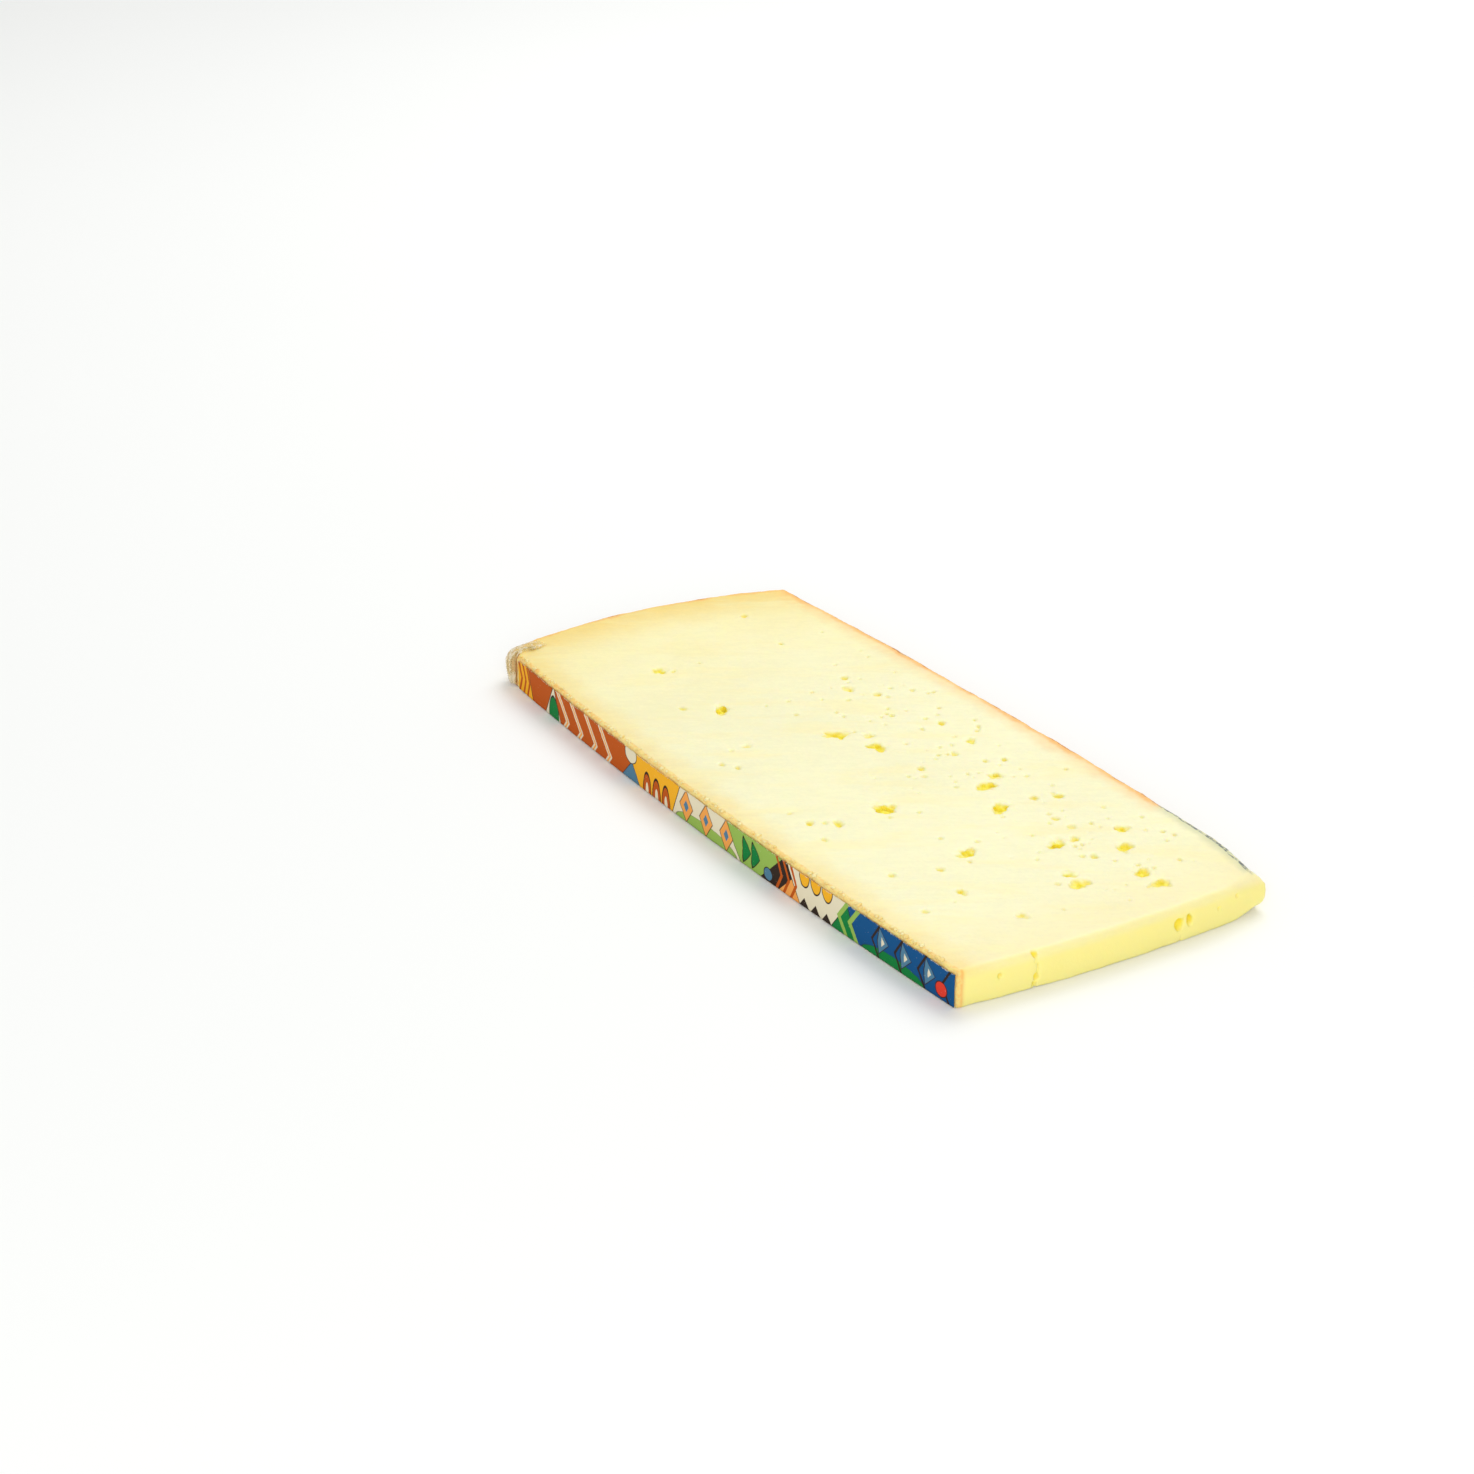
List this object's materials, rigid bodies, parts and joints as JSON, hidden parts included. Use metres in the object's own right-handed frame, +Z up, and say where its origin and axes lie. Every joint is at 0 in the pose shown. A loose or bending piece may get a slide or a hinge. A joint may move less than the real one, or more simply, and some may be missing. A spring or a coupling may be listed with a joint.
{
  "type": "cheese slice",
  "caption": "Flat slice of washed-rind melting cheese with eyes, rind on its outer sides, a paper label strip on one side and a scrap of clear wrap at the heel corner.",
  "frame": {"origin": "under the middle of the slice's box, on the surface that it rests on", "axes": "+X from the rounded heel to the cut end, +Y from the labelled side to the opposite rind, +Z up through the thickness"},
  "size_m": [0.1708, 0.0754, 0.0082],
  "materials": {
    "cheese_paste": null,
    "label_paper": "thin printed paper, matt, in bands of yellow, red-orange, slate blue, cream, green and navy",
    "clear_wrap": "thin clear wrinkled wrap, glossy"
  },
  "bodies": {
    "root": {"cheese": "cheese_paste", "label": "label_paper", "wrap": "clear_wrap"}
  },
  "joints": []
}
